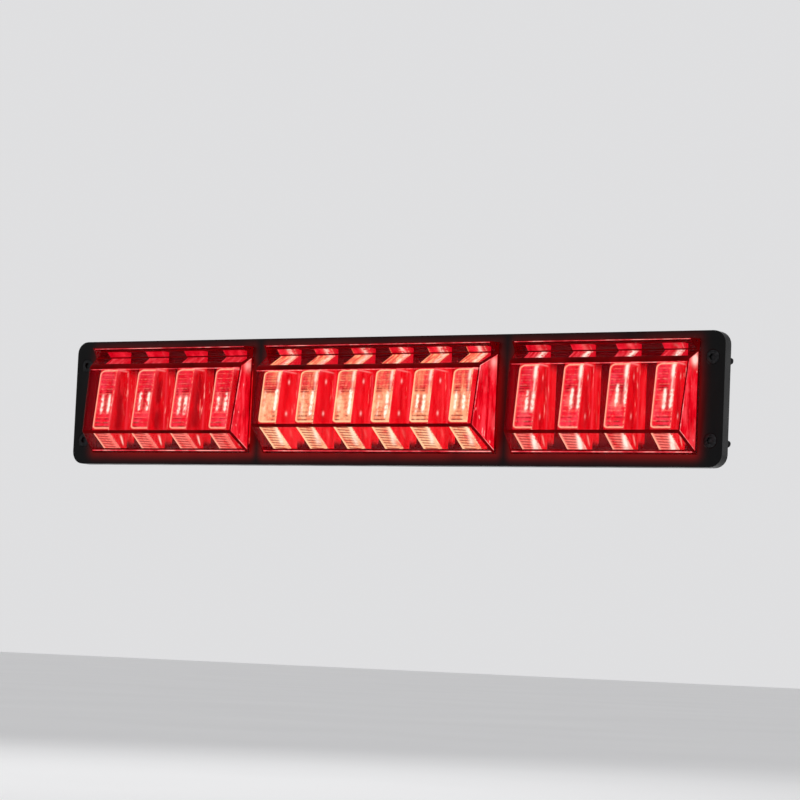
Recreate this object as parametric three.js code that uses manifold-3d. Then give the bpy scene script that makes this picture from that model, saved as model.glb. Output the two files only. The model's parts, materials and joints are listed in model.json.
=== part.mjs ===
// A high-mounted LED brake light for the back of a pickup cab.
//
// A black tub passes through an opening in the cab panel and its flange seals on the panel.
// Ahead of the tub stand three raised, faceted windows of one red lens. Behind them, upright
// light guide fins carry the light of one LED each, past a black mask, to the face of the lens.
//
// Millimetres. The origin is the centre of the panel opening, on the panel's outer skin.
// -Y is the lit side, +Y goes into the cab, +X is to the right of someone facing the light.

import * as THREE from 'three';
import { mergeVertices } from 'three/addons/utils/BufferGeometryUtils.js';
import Module from 'manifold-3d';

const wasm = await Module();
wasm.setup();

// ---------------------------------------------------------------- driving dimensions

const gap = 0.3;                    // clearance between pieces that touch

// the casing, from front to back
const halfLength = 208;
const halfHeight = 36;
const cornerRadius = 7;
const bezelFront = -11;
const bezelBack = -8.7;
const skirtBack = -3.5;
const skirtWall = 2;
const lensFlangeFront = -8.4;
const lensFlangeBack = -6.3;
const flangeFront = -6;
const flangeBack = -3;
const gasketFront = -2.7;
const panelSkin = 0;
const rearWallInside = 17.5;
const rearWallOutside = 20;

// half lengths (X) and half heights (Z) of the layers
const flangeHalf = { x: 205.5, z: 33.5 };
const lensFlangeHalf = { x: 196.8, z: 32.8 };
const tubHalf = { x: 193, z: 28.5 };
const cavityHalf = { x: 190.5, z: 26 };
const sealGrooveFloor = -4.4;
const sealHalf = { outerX: 195.3, outerZ: 31.3, innerX: 193.3, innerZ: 29.3 };

// the raised windows
const windowStep = -12.5;           // a short upright step lifts each window off the bezel
const windowBottom = -29;
const foldHeight = 26;
const lipFront = -18.8;
const windowTop = 31.4;
const lensWall = 1.4;
const opticGap = 0.3;
const endDraft = Math.tan(THREE.MathUtils.degToRad(12));

// the light guide fins
const finWidth = 11.8;
const outerPitch = 27;
const centrePitch = 24.4;

const outerWindow = {
  halfLength: 54.5, finCount: 4, pitch: outerPitch,
  frontBottom: [-27.2, -18.8], frontTop: [-20.9, 20.8],
};
const centreWindow = {
  halfLength: 74.5, finCount: 6, pitch: centrePitch,
  frontBottom: [-32.3, -15.8], frontTop: [-27.2, 18.2],
};
const sections = [
  { name: 'left', centreX: -139, finCentreX: -138.25, carrier: [-190, -79.2], ...outerWindow },
  { name: 'centre', centreX: 0, finCentreX: 0, carrier: [-78.9, 78.9], ...centreWindow },
  { name: 'right', centreX: 139, finCentreX: 138.25, carrier: [79.2, 190], ...outerWindow },
];

// the layers inside the tub
const mask = { front: 0.3, back: 1.7, halfX: 190, halfZ: 25.6 };
const carrier = { front: 2, back: 4, halfZ: 25.6 };
const tray = { front: 4.3, back: 8.4, halfX: 189.8, halfZ: 25.4 };
const board = { front: 9, back: 10.6, halfX: 189, halfZ: 24.5 };
const finRootHalfZ = 22.6;

// screws
const mountingHole = { x: 200.8, z: 22 };
const boardScrews = [-79.5, 0, 79.5].flatMap((x) => [[x, -18], [x, 18]]);

// the rear wall's fittings
const socketX = 45;
const ventX = -45;

// ---------------------------------------------------------------- materials

const finishes = {
  housing: { color: 0x101011, roughness: 0.6, metalness: 0 },
  bezel: { color: 0x0b0b0c, roughness: 0.25, metalness: 0 },
  lens: { color: 0xc4081a, roughness: 0.08, metalness: 0, transparent: true, opacity: 0.4 },
  guide: { color: 0xff5560, roughness: 0.15, metalness: 0 },
  mask: { color: 0x1c0306, roughness: 0.55, metalness: 0 },
  tray: { color: 0xe8e6e2, roughness: 0.5, metalness: 0 },
  circuit: { color: 0x0f4a2a, roughness: 0.4, metalness: 0 },
  led: { color: 0xf2e9c8, roughness: 0.3, metalness: 0 },
  chip: { color: 0x1a1a1c, roughness: 0.5, metalness: 0 },
  rubber: { color: 0x17171a, roughness: 0.9, metalness: 0 },
  steel: { color: 0x8f9196, roughness: 0.35, metalness: 1 },
  blackScrew: { color: 0x141416, roughness: 0.4, metalness: 0.8 },
  tin: { color: 0xc9c6bb, roughness: 0.3, metalness: 1 },
  membrane: { color: 0xe9e9e6, roughness: 0.8, metalness: 0 },
};

const light = new THREE.Group();

function addPiece(name, solid, finish) {
  const material = new THREE.MeshStandardMaterial(finishes[finish]);
  const mesh = new THREE.Mesh(geometryOf(solid), material);
  mesh.name = name;
  light.add(mesh);
}

// ---------------------------------------------------------------- solids

function solidOf(geometry) {
  geometry.deleteAttribute('normal');
  geometry.deleteAttribute('uv');
  const merged = mergeVertices(geometry, 1e-4);
  return new wasm.Manifold(new wasm.Mesh({
    numProp: 3,
    vertProperties: new Float32Array(merged.attributes.position.array),
    triVerts: new Uint32Array(merged.index.array),
  }));
}

function geometryOf(solid) {
  const mesh = solid.getMesh();
  const geometry = new THREE.BufferGeometry();
  geometry.setAttribute('position', new THREE.BufferAttribute(mesh.vertProperties, 3));
  geometry.setIndex(new THREE.BufferAttribute(mesh.triVerts, 1));
  geometry.computeVertexNormals();
  return geometry;
}

function join(solids) {
  return solids.reduce((whole, next) => whole.add(next));
}

function cut(solid, tools) {
  return tools.reduce((whole, tool) => whole.subtract(tool), solid);
}

function box([x0, x1], [y0, y1], [z0, z1]) {
  const geometry = new THREE.BoxGeometry(x1 - x0, y1 - y0, z1 - z0);
  geometry.translate((x0 + x1) / 2, (y0 + y1) / 2, (z0 + z1) / 2);
  return solidOf(geometry);
}

// a prism of a (y, z) shape, standing between two X positions
function alongX(shape, x0, x1) {
  const geometry = new THREE.ExtrudeGeometry(shape, {
    depth: x1 - x0, bevelEnabled: false, curveSegments: 5,
  });
  const basis = new THREE.Matrix4().makeBasis(
    new THREE.Vector3(0, 1, 0), new THREE.Vector3(0, 0, 1), new THREE.Vector3(1, 0, 0),
  );
  geometry.applyMatrix4(basis);
  geometry.translate(x0, 0, 0);
  return solidOf(geometry);
}

// a prism of an (x, z) shape, between a front and a back
function alongY(shape, front, back, curveSegments = 3) {
  const geometry = new THREE.ExtrudeGeometry(shape, {
    depth: back - front, bevelEnabled: false, curveSegments,
  });
  geometry.rotateX(Math.PI / 2);
  geometry.translate(0, back, 0);
  return solidOf(geometry);
}

// a prism of an (x, y) shape, between two heights
function alongZ(shape, z0, z1) {
  const geometry = new THREE.ExtrudeGeometry(shape, { depth: z1 - z0, bevelEnabled: false });
  geometry.translate(0, 0, z0);
  return solidOf(geometry);
}

// a round piece about an axis along Y: profile points are [radius, y], from front to back
function turned(profile, x, z, segments) {
  const geometry = new THREE.LatheGeometry(profile.map(([r, y]) => new THREE.Vector2(r, y)), segments);
  geometry.translate(x, 0, z);
  return solidOf(geometry);
}

function rod(radius, front, back, x, z, segments = 12) {
  return turned([[0, front], [radius, front], [radius, back], [0, back]], x, z, segments);
}

function roundedRectangle(halfX, halfZ, radius, centreX = 0, centreZ = 0) {
  const shape = new THREE.Shape();
  const right = centreX + halfX;
  const left = centreX - halfX;
  const top = centreZ + halfZ;
  const bottom = centreZ - halfZ;
  const quarter = Math.PI / 2;
  shape.moveTo(left + radius, bottom);
  shape.lineTo(right - radius, bottom);
  shape.absarc(right - radius, bottom + radius, radius, -quarter, 0, false);
  shape.lineTo(right, top - radius);
  shape.absarc(right - radius, top - radius, radius, 0, quarter, false);
  shape.lineTo(left + radius, top);
  shape.absarc(left + radius, top - radius, radius, quarter, 2 * quarter, false);
  shape.lineTo(left, bottom + radius);
  shape.absarc(left + radius, bottom + radius, radius, 2 * quarter, 3 * quarter, false);
  return shape;
}

function roundedBlock(halfX, halfZ, radius, front, back, centreX = 0, centreZ = 0) {
  return alongY(roundedRectangle(halfX, halfZ, radius, centreX, centreZ), front, back);
}

function fourCorners({ x, z }) {
  return [[-x, -z], [x, -z], [-x, z], [x, z]];
}

// ---------------------------------------------------------------- window outlines

// the side outline of a window's outer faces, as [y, z] points: bottom facet, leaning front,
// top facet down to the fold, and the lip that flares forward above it
function windowOutline(section, back) {
  return [
    [back, windowBottom],
    [windowStep, windowBottom],
    section.frontBottom,
    section.frontTop,
    [windowStep, foldHeight],
    [lipFront, windowTop],
    [back, windowTop],
  ];
}

// moves every edge of an outline inwards by the same distance
function insetOutline(points, distance) {
  const edges = points.map(([ay, az], i) => {
    const [by, bz] = points[(i + 1) % points.length];
    const length = Math.hypot(by - ay, bz - az);
    const along = [(by - ay) / length, (bz - az) / length];
    const inwards = [along[1], -along[0]];
    return { from: [ay + inwards[0] * distance, az + inwards[1] * distance], along };
  });
  return edges.map((edge, i) => {
    const before = edges[(i + edges.length - 1) % edges.length];
    const cross = before.along[0] * edge.along[1] - before.along[1] * edge.along[0];
    const dy = edge.from[0] - before.from[0];
    const dz = edge.from[1] - before.from[1];
    const t = (dy * edge.along[1] - dz * edge.along[0]) / cross;
    return [before.from[0] + before.along[0] * t, before.from[1] + before.along[1] * t];
  });
}

// a shape through the points, with the corners named in radii rounded off
function outlineShape(points, radii = {}) {
  const shape = new THREE.Shape();
  points.forEach(([y, z], i) => {
    const corner = new THREE.Vector2(y, z);
    const radius = radii[i] ?? 0;
    const before = new THREE.Vector2(...points[(i + points.length - 1) % points.length]);
    const after = new THREE.Vector2(...points[(i + 1) % points.length]);
    const start = corner.clone().add(before.sub(corner).setLength(radius));
    const end = corner.clone().add(after.sub(corner).setLength(radius));
    if (i === 0) {
      shape.moveTo(start.x, start.y);
    } else {
      shape.lineTo(start.x, start.y);
    }
    if (radius > 0) {
      shape.quadraticCurveTo(corner.x, corner.y, end.x, end.y);
    }
  });
  return shape;
}

// the plan outline of a window: its ends lean in towards the front
function windowPlan(section, back, inset) {
  const front = -34;
  const half = section.halfLength - inset;
  const frontHalf = half - (windowStep - front) * endDraft;
  const shape = new THREE.Shape();
  shape.moveTo(section.centreX - half, back);
  shape.lineTo(section.centreX - half, windowStep);
  shape.lineTo(section.centreX - frontHalf, front);
  shape.lineTo(section.centreX + frontHalf, front);
  shape.lineTo(section.centreX + half, windowStep);
  shape.lineTo(section.centreX + half, back);
  return shape;
}

function windowSolid(section, back, inset) {
  const outline = windowOutline(section, back + inset);
  const side = inset > 0 ? insetOutline(outline, inset) : outline;
  const reach = section.halfLength + 1;
  const prism = alongX(outlineShape(side), section.centreX - reach, section.centreX + reach);
  return prism.intersect(alongZ(windowPlan(section, back, inset), -halfHeight, halfHeight));
}

function finPositions(section) {
  return Array.from({ length: section.finCount },
    (_, i) => section.finCentreX + (i - (section.finCount - 1) / 2) * section.pitch);
}

// ---------------------------------------------------------------- outer pieces

function rearHousing() {
  const flange = roundedBlock(flangeHalf.x, flangeHalf.z, 5, flangeFront, flangeBack);
  const tub = roundedBlock(tubHalf.x, tubHalf.z, 5, flangeBack - 1, rearWallOutside);
  const cavity = roundedBlock(cavityHalf.x, cavityHalf.z, 1, flangeFront - 1, rearWallInside);
  const grooveShape = roundedRectangle(sealHalf.outerX + gap, sealHalf.outerZ + gap, 5);
  grooveShape.holes.push(roundedRectangle(sealHalf.innerX - gap, sealHalf.innerZ - gap, 3));
  const groove = alongY(grooveShape, flangeFront - 1, sealGrooveFloor);
  const shell = cut(flange.add(tub), [cavity, groove]);

  const ribHeight = 1.3;
  const ribSpan = [rearWallOutside - 1, rearWallOutside + ribHeight];
  const uprightRibs = [-172, -140, -108, -76, 76, 108, 140, 172].map(
    (x) => box([x - 1, x + 1], ribSpan, [-24, 24]));
  const longRibs = [-21, 21].map((z) => box([-186, 186], ribSpan, [z - 1, z + 1]));

  const bosses = boardScrews.map(
    ([x, z]) => rod(3.4, board.back + gap, rearWallInside + 1, x, z, 10));
  const pilots = boardScrews.map(([x, z]) => rod(1.25, board.back, 16, x, z, 8));

  const screwHoles = fourCorners(mountingHole).map(
    ([x, z]) => rod(2.4, flangeFront - 1, flangeBack + 1, x, z));
  const socketOpening = roundedBlock(10.2, 5.7, 2, rearWallInside - 1, rearWallOutside + 1, socketX);
  const ventHole = rod(2.9, rearWallInside - 1, rearWallOutside + 1, ventX, 0);
  return cut(join([shell, ...uprightRibs, ...longRibs, ...bosses]),
    [...pilots, ...screwHoles, socketOpening, ventHole]);
}

function frontBezel() {
  const block = roundedBlock(halfLength, halfHeight, cornerRadius, bezelFront, skirtBack);
  const pocket = roundedBlock(halfLength - skirtWall, halfHeight - skirtWall,
    cornerRadius - skirtWall, bezelBack, skirtBack + 1);
  const posts = fourCorners(mountingHole).map(
    ([x, z]) => rod(3.5, bezelBack - 0.5, flangeFront - gap, x, z));
  const openings = sections.map((section) => box(
    [section.centreX - section.halfLength - gap, section.centreX + section.halfLength + gap],
    [bezelFront - 1, bezelBack + 1],
    [windowBottom - gap, windowTop + gap]));
  const countersinks = fourCorners(mountingHole).map(([x, z]) => turned([
    [0, bezelFront - 1], [4.2, bezelFront - 1], [4.2, bezelFront],
    [2.3, bezelFront + 1.9], [2.3, flangeFront], [0, flangeFront],
  ], x, z, 14));
  const frame = block.subtract(pocket);
  return cut(join([frame, ...posts]), [...openings, ...countersinks]);
}

function outerLens() {
  const flange = roundedBlock(lensFlangeHalf.x, lensFlangeHalf.z, 4, lensFlangeFront, lensFlangeBack);
  const windows = sections.map((section) => windowSolid(section, lensFlangeBack, 0));
  const hollows = sections.map((section) => windowSolid(section, lensFlangeBack + 2, lensWall));
  return cut(join([flange, ...windows]), hollows);
}

function lensSeal() {
  const shape = roundedRectangle(sealHalf.outerX, sealHalf.outerZ, 4.7);
  shape.holes.push(roundedRectangle(sealHalf.innerX, sealHalf.innerZ, 3.3));
  return alongY(shape, flangeFront, sealGrooveFloor - gap);
}

function foamGasket() {
  const shape = roundedRectangle(flangeHalf.x - 0.5, flangeHalf.z - gap, 4.7);
  shape.holes.push(roundedRectangle(tubHalf.x + 0.6, tubHalf.z + 0.6, 5.6));
  const holes = fourCorners(mountingHole).map(
    ([x, z]) => rod(2.6, gasketFront - 1, panelSkin + 1, x, z));
  return cut(alongY(shape, gasketFront, panelSkin), holes);
}

function mountingScrew(x, z) {
  const headFront = bezelFront + 0.1;
  const body = turned([
    [0, headFront], [3.8, headFront], [2, headFront + 1.8], [2, 12.6], [0.9, 14.4], [0, 14.4],
  ], x, z, 12);
  const recess = rod(1.9, headFront - 1, headFront + 1.4, x, z, 6);
  return body.subtract(recess);
}

// ---------------------------------------------------------------- optics

function lightGuide(section) {
  const plate = box(section.carrier, [carrier.front, carrier.back], [-carrier.halfZ, carrier.halfZ]);
  const reach = lensWall + opticGap;
  const outline = insetOutline(windowOutline(section, carrier.front + 1 + reach), reach);
  const finShape = outlineShape(outline, { 2: 2, 3: 5 });
  const fins = finPositions(section).map(
    (x) => alongX(finShape, x - finWidth / 2, x + finWidth / 2));
  // each fin narrows to pass the lens flange, and again to pass the mask
  const beyond = (front, height) => [
    box([-halfLength, halfLength], [front, carrier.back + 1], [height, halfHeight]),
    box([-halfLength, halfLength], [front, carrier.back + 1], [-halfHeight, -height]),
  ];
  const shoulders = [
    ...beyond(lensFlangeBack - 0.2, cavityHalf.z - 0.5),
    ...beyond(mask.front - 0.5, finRootHalfZ),
  ];
  return plate.add(cut(join(fins), shoulders));
}

function slotMask() {
  const plate = box([-mask.halfX, mask.halfX], [mask.front, mask.back], [-mask.halfZ, mask.halfZ]);
  const slotHalf = finWidth / 2 + 0.4;
  const slots = sections.flatMap(finPositions).map((x) => box(
    [x - slotHalf, x + slotHalf],
    [mask.front - 1, mask.back + 1],
    [-finRootHalfZ - 0.4, finRootHalfZ + 0.4]));
  return cut(plate, slots);
}

function reflectorTray() {
  const plate = box([-tray.halfX, tray.halfX], [tray.front, tray.back], [-tray.halfZ, tray.halfZ]);
  const cells = sections.flatMap(finPositions).map(
    (x) => box([x - 5.5, x + 5.5], [tray.front - 1, tray.back + 1], [-21, 21]));
  const screwWells = boardScrews.map(([x, z]) => rod(3, tray.front - 1, tray.back + 1, x, z, 10));
  return cut(plate, [...cells, ...screwWells]);
}

// ---------------------------------------------------------------- circuit

function ledBoard() {
  const plate = roundedBlock(board.halfX, board.halfZ, 2, board.front, board.back);
  const holes = boardScrews.map(([x, z]) => rod(1.4, board.front - 1, board.back + 1, x, z, 8));
  return cut(plate, holes);
}

function led(x) {
  const back = board.front - gap;
  const body = box([x - 2.6, x + 2.6], [back - 1.1, back], [-2.6, 2.6]);
  const dome = turned([
    [0, back - 2.5], [1.5, back - 2.1], [2.1, back - 0.8], [0, back - 0.8],
  ], x, 0, 8);
  return body.add(dome);
}

function surfacePart(x, z, halfX, halfZ, thickness) {
  const front = board.back + gap;
  return box([x - halfX, x + halfX], [front, front + thickness], [z - halfZ, z + halfZ]);
}

// a power regulator: a moulded body with its metal tab on one side
function regulator(x) {
  return surfacePart(x, 0, 3.4, 3.2, 2.3).add(surfacePart(x, 4.2, 2.7, 1.4, 0.6));
}

function boardScrew(x, z) {
  const headFront = board.front - gap - 1.4;
  return turned([
    [0, headFront], [1.8, headFront], [2.6, headFront + 0.7], [2.6, headFront + 1.4],
    [0.95, headFront + 1.4], [0.95, 15.2], [0, 15.2],
  ], x, z, 8);
}

// ---------------------------------------------------------------- rear fittings

function inletSocket() {
  const flangeStart = rearWallOutside + 1.8;
  const cavityFloor = 25.5;
  const mouth = 36;
  const spigot = roundedBlock(9.8, 5.3, 1.8, 12, flangeStart + 0.5, socketX);
  const flange = roundedBlock(13, 8.5, 3, flangeStart, flangeStart + 1.5, socketX);
  const shroud = roundedBlock(11, 6.5, 2.4, flangeStart + 1, mouth, socketX);
  const cavity = roundedBlock(9.4, 4.9, 1.4, cavityFloor, mouth + 1, socketX);
  const hooks = [-1, 1].map((side) => {
    const inner = socketX + side * 9.4;
    const outer = socketX + side * 11.4;
    const across = [Math.min(inner, outer), Math.max(inner, outer)];
    return box(across, [15.2, rearWallInside - gap], [-2.5, 2.5]);
  });
  const latchRamp = box([socketX - 3, socketX + 3], [30.5, 34], [6, 8]);
  const keyRibs = [-7, 7].map((x) => box(
    [socketX + x - 0.6, socketX + x + 0.6], [24, mouth], [-7.4, -6]));
  const pinHoles = [-3.2, 3.2].map((x) => box(
    [socketX + x - 1.2, socketX + x + 1.2], [11, cavityFloor + 1], [-0.7, 0.7]));
  const cup = shroud.subtract(cavity);
  return cut(join([spigot, flange, cup, ...hooks, latchRamp, ...keyRibs]), pinHoles);
}

function socketPin(side) {
  const x = socketX + side * 3.2;
  return box([x - 0.9, x + 0.9], [board.back + gap, 30], [-0.4, 0.4]);
}

function socketSeal() {
  const shape = roundedRectangle(12.4, 7.9, 2.7, socketX);
  shape.holes.push(roundedRectangle(10.2, 5.7, 2, socketX));
  return alongY(shape, rearWallOutside + gap, rearWallOutside + 1.5);
}

function ventCap() {
  const capStart = rearWallOutside + gap;
  const stemFront = 15;
  return turned([
    [1.3, stemFront], [2.6, stemFront], [2.6, capStart], [6.6, capStart],
    [6.6, capStart + 1.6], [5.6, capStart + 2.6], [0, capStart + 2.6], [0, capStart],
    [1.3, capStart], [1.3, stemFront],
  ], ventX, 0, 16);
}

function ventMembrane() {
  return rod(2.5, 14.1, 14.7, ventX, 0);
}

// ---------------------------------------------------------------- assembly

addPiece('rear_housing', rearHousing(), 'housing');
addPiece('front_bezel', frontBezel(), 'bezel');
addPiece('outer_lens', outerLens(), 'lens');
addPiece('lens_seal', lensSeal(), 'rubber');
addPiece('foam_gasket', foamGasket(), 'rubber');
addPiece('slot_mask', slotMask(), 'mask');
addPiece('reflector_tray', reflectorTray(), 'tray');
addPiece('led_board', ledBoard(), 'circuit');

for (const section of sections) {
  addPiece(`light_guide_${section.name}`, lightGuide(section), 'guide');
}

sections.flatMap(finPositions).forEach((x, i) => {
  addPiece(`led_${String(i + 1).padStart(2, '0')}`, led(x), 'led');
});

addPiece('regulator_left', regulator(-124), 'chip');
addPiece('regulator_centre', regulator(0), 'chip');
addPiece('regulator_right', regulator(124), 'chip');
addPiece('input_diode', surfacePart(66, 0, 3.5, 2.6, 2.2), 'chip');
addPiece('resistor_left', surfacePart(-100, -8, 3.2, 1.6, 0.8), 'chip');
addPiece('resistor_centre', surfacePart(20, -8, 3.2, 1.6, 0.8), 'chip');
addPiece('resistor_right', surfacePart(100, -8, 3.2, 1.6, 0.8), 'chip');

boardScrews.forEach(([x, z], i) => {
  addPiece(`board_screw_${i + 1}`, boardScrew(x, z), 'steel');
});

fourCorners(mountingHole).forEach(([x, z], i) => {
  addPiece(`mounting_screw_${i + 1}`, mountingScrew(x, z), 'blackScrew');
});

addPiece('inlet_socket', inletSocket(), 'housing');
addPiece('socket_pin_1', socketPin(-1), 'tin');
addPiece('socket_pin_2', socketPin(1), 'tin');
addPiece('socket_seal', socketSeal(), 'rubber');
addPiece('vent_cap', ventCap(), 'housing');
addPiece('vent_membrane', ventMembrane(), 'membrane');

export default light;
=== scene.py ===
"""A pickup cab's high-mounted LED brake light, lit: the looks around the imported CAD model."""
import json
import math

import bmesh
import bpy
from mathutils import Matrix, Vector


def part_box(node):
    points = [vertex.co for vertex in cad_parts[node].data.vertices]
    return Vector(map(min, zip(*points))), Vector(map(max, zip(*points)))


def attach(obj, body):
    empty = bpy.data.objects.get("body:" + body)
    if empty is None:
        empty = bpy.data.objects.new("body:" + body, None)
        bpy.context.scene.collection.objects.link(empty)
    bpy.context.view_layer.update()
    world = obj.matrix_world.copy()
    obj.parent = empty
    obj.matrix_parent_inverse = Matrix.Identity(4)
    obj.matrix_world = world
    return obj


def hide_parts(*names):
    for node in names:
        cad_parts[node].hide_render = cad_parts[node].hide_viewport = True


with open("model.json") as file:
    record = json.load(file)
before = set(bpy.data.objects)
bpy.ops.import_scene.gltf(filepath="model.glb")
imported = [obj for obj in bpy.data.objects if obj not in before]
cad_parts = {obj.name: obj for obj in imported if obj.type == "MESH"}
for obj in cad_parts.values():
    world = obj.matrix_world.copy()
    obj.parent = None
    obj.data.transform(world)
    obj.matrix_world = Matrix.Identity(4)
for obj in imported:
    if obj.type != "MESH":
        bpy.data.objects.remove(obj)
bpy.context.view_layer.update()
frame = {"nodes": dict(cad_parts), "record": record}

MM = 0.001
scene = bpy.context.scene
nodes = frame["nodes"]

# ---------------------------------------------------------------- dimensions, in millimetres

FIN_WIDTH = 11.8
RIB_PITCH = 2.3
WINDOW_STEP = -12.5
WINDOW_BOTTOM = -29.0
FOLD_HEIGHT = 26.0
LIP_FRONT = -18.8
WINDOW_TOP = 31.4
LENS_BACK = -6.3
OPTIC_INSET = 1.7
PLATE_FRONT = 2.0
PLATE_BACK = 4.0
PLATE_REACH = 25.6
PLATE_CHAMFER = 0.4
# the lower and upper edge of each window's front face, as (y, z)
FACETS = {
    "outer": {"front_bottom": (-27.2, -18.8), "front_top": (-20.9, 20.8)},
    "centre": {"front_bottom": (-32.3, -15.8), "front_top": (-27.2, 18.2)},
}
END_DRAFT = math.tan(math.radians(12.0))
# each window's centre, half length and facets
WINDOWS = ((-139.0, 54.5, "outer"), (0.0, 74.5, "centre"), (139.0, 54.5, "outer"))
SECTIONS = {
    "left": {"facets": "outer", "leds": range(1, 5)},
    "centre": {"facets": "centre", "leds": range(5, 11)},
    "right": {"facets": "outer", "leds": range(11, 15)},
}


def box_mm(node):
    """The lowest and highest corner of a CAD node, in millimetres."""
    low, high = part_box(node)
    return [c / MM for c in low], [c / MM for c in high]


# ---------------------------------------------------------------- node materials

class Shader:
    """A principled material and short calls for the nodes that feed it."""

    def __init__(self, name, **inputs):
        self.material = bpy.data.materials.new(name)
        self.material.use_nodes = True
        self.tree = self.material.node_tree
        self.bsdf = self.tree.nodes["Principled BSDF"]
        self.point = self.node("ShaderNodeTexCoord").outputs["Object"]
        for key, value in inputs.items():
            socket = self.bsdf.inputs[key.replace("_", " ")]
            socket.default_value = (*value, 1.0) if isinstance(value, tuple) else value

    def node(self, kind, **settings):
        node = self.tree.nodes.new(kind)
        for key, value in settings.items():
            setattr(node, key, value)
        return node

    def plug(self, socket, value):
        if isinstance(value, bpy.types.NodeSocket):
            self.tree.links.new(value, socket)
        elif isinstance(value, tuple) and len(value) == 3 and socket.type == "RGBA":
            socket.default_value = (*value, 1.0)
        else:
            socket.default_value = value

    def set(self, name, value):
        self.plug(self.bsdf.inputs[name], value)

    def math(self, operation, *values, clamp=False):
        node = self.node("ShaderNodeMath", operation=operation, use_clamp=clamp)
        for socket, value in zip(node.inputs, values):
            self.plug(socket, value)
        return node.outputs[0]

    def attribute(self, name):
        return self.node("ShaderNodeAttribute", attribute_name=name).outputs["Fac"]

    def noise(self, scale, detail=3.0, roughness=0.5, vector=None):
        node = self.node("ShaderNodeTexNoise")
        self.plug(node.inputs["Vector"], vector or self.point)
        node.inputs["Scale"].default_value = scale
        node.inputs["Detail"].default_value = detail
        node.inputs["Roughness"].default_value = roughness
        return node.outputs["Fac"]

    def stretched(self, scale):
        """The object's coordinates, scaled by a different amount along each axis."""
        node = self.node("ShaderNodeMapping")
        self.plug(node.inputs["Vector"], self.point)
        node.inputs["Scale"].default_value = scale
        return node.outputs["Vector"]

    def axes(self):
        """The object's x, y and z in millimetres."""
        split = self.node("ShaderNodeSeparateXYZ")
        self.plug(split.inputs[0], self.point)
        return [self.math("DIVIDE", split.outputs[axis], MM) for axis in ("X", "Y", "Z")]

    def ramp(self, value, *stops):
        """A colour or a grey that changes with value: stops are (position, colour)."""
        node = self.node("ShaderNodeValToRGB")
        elements = node.color_ramp.elements
        while len(elements) < len(stops):
            elements.new(0.5)
        for element, (position, colour) in zip(elements, stops):
            element.position = position
            grey = not isinstance(colour, tuple)
            element.color = (colour, colour, colour, 1.0) if grey else (*colour, 1.0)
        self.plug(node.inputs["Fac"], value)
        return node.outputs["Color"]

    def mix(self, factor, first, second, blend="MIX"):
        node = self.node("ShaderNodeMix", data_type="RGBA", blend_type=blend)
        self.plug(node.inputs[0], factor)
        self.plug(node.inputs[6], first)
        self.plug(node.inputs[7], second)
        return node.outputs[2]

    def bump(self, height, strength, distance):
        node = self.node("ShaderNodeBump")
        node.inputs["Strength"].default_value = strength
        node.inputs["Distance"].default_value = distance
        self.plug(node.inputs["Height"], height)
        self.set("Normal", node.outputs["Normal"])

    def band(self, value, centre, width):
        """1 at centre, falling smoothly to nothing about one width away."""
        offset = self.math("DIVIDE", self.math("SUBTRACT", value, centre), width)
        squared = self.math("MULTIPLY", offset, offset)
        return self.math("POWER", math.e, self.math("MULTIPLY", squared, -1.0))

    def step(self, value, low, high):
        """0 at low, 1 at high, with a soft change between."""
        node = self.node("ShaderNodeMapRange", interpolation_type="SMOOTHSTEP")
        self.plug(node.inputs["Value"], value)
        node.inputs["From Min"].default_value = low
        node.inputs["From Max"].default_value = high
        return node.outputs["Result"]

    def between(self, value, low, high, soft):
        """1 between low and high, 0 outside."""
        rise = self.step(value, low - soft, low + soft)
        fall = self.math("SUBTRACT", 1.0, self.step(value, high - soft, high + soft))
        return self.math("MULTIPLY", rise, fall)

    def product(self, *factors):
        result = factors[0]
        for factor in factors[1:]:
            result = self.math("MULTIPLY", result, factor)
        return result

    def either(self, *values):
        result = values[0]
        for value in values[1:]:
            result = self.math("MAXIMUM", result, value)
        return result

    def wave(self, value, pitch):
        """0 to 1 and back once every pitch."""
        turns = self.math("MULTIPLY", value, 2 * math.pi / pitch)
        return self.math("MULTIPLY_ADD", self.math("COSINE", turns), 0.5, 0.5)


def moulded_plastic(name, colour, roughness, grain, strength, worn):
    """Moulded plastic: a fine grain, cloudy gloss and a few paler rubbed places."""
    s = Shader(name)
    cloud = s.noise(35.0, 4.0)
    s.set("Base Color", s.ramp(cloud, (0.3, colour), (0.75, worn)))
    s.set("Roughness", s.ramp(s.noise(90.0, 3.0), (0.3, roughness * 0.8), (0.7, roughness * 1.25)))
    s.bump(s.noise(grain, 3.0, 0.65), strength, 0.0002)
    return s.material


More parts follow.
